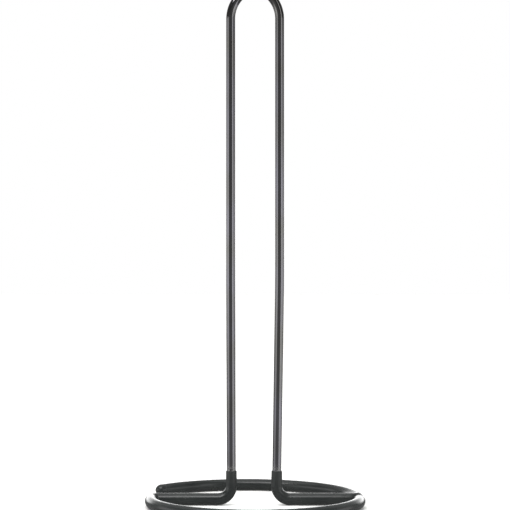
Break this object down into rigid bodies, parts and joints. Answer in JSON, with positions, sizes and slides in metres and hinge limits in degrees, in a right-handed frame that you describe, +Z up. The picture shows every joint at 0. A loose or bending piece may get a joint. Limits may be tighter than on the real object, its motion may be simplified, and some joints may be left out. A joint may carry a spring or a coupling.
{
  "type": "paper towel holder",
  "caption": "Free-standing paper towel holder: one steel wire bent into a tall looped hairpin post over an S-shaped ring base in a vinyl covering with domed end caps.",
  "frame": {"origin": "on the surface the holder rests on, under the middle of the ring, between the two legs", "axes": "+Z up along the hairpin, +X to the right in the plane of the hairpin and its spokes, +Y to the back, so the front half ring is at -Y"},
  "size_m": [0.1469, 0.1526, 0.3485],
  "materials": {
    "plated_steel": "dark nickel-plated drawn steel wire, polished to a dark mirror",
    "vinyl": "satin dark grey soft vinyl covering"
  },
  "bodies": {
    "root": {"wire_frame": "plated_steel", "front_sleeve": "vinyl", "back_sleeve": "vinyl", "front_end_cap": "vinyl", "back_end_cap": "vinyl"}
  },
  "joints": []
}
